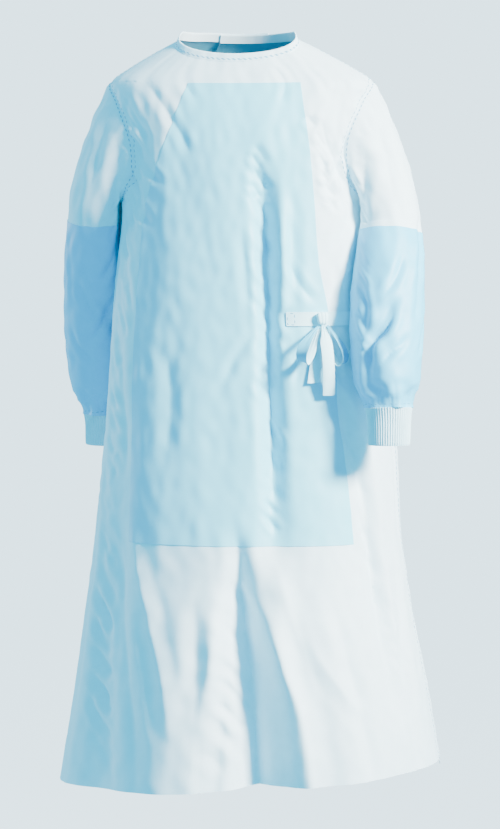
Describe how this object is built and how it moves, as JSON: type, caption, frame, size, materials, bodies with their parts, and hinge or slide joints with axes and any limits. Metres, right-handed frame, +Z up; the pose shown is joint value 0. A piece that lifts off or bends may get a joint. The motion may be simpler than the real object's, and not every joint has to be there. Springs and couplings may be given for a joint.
{
  "type": "surgical gown",
  "caption": "Long-sleeved wrap-back surgical gown with reinforced front and forearms, knitted cuffs and a side waist tie, standing open as worn.",
  "frame": {"origin": "midway between the neck ends of the two shoulder seams, where the wearer's shoulders hold the gown", "axes": "+Z up along the gown's length, -Y out of its front, +X to the gown's own left side"},
  "size_m": [0.6396, 0.5282, 1.2351],
  "materials": {
    "gown_cloth": "matte nonwoven",
    "reinforced_cloth": "smooth coated nonwoven",
    "knit": "ribbed knit",
    "tie_tape": "matte nonwoven",
    "hook_tape": "woven tape"
  },
  "bodies": {
    "root": {"front_panel": "gown_cloth", "left_back_panel": "gown_cloth", "right_back_panel": "gown_cloth", "collar_band": "gown_cloth", "left_sleeve": "gown_cloth", "right_sleeve": "gown_cloth", "front_reinforcement": "reinforced_cloth", "left_sleeve_reinforcement": "reinforced_cloth", "right_sleeve_reinforcement": "reinforced_cloth", "left_cuff": "knit", "right_cuff": "knit", "waist_tie_front": "tie_tape", "waist_tie_side": "tie_tape", "tie_knot": "tie_tape", "tie_loop_left": "tie_tape", "tie_loop_right": "tie_tape", "tie_end_front": "tie_tape", "tie_end_back": "tie_tape", "neck_tab": "hook_tape"}
  },
  "joints": []
}
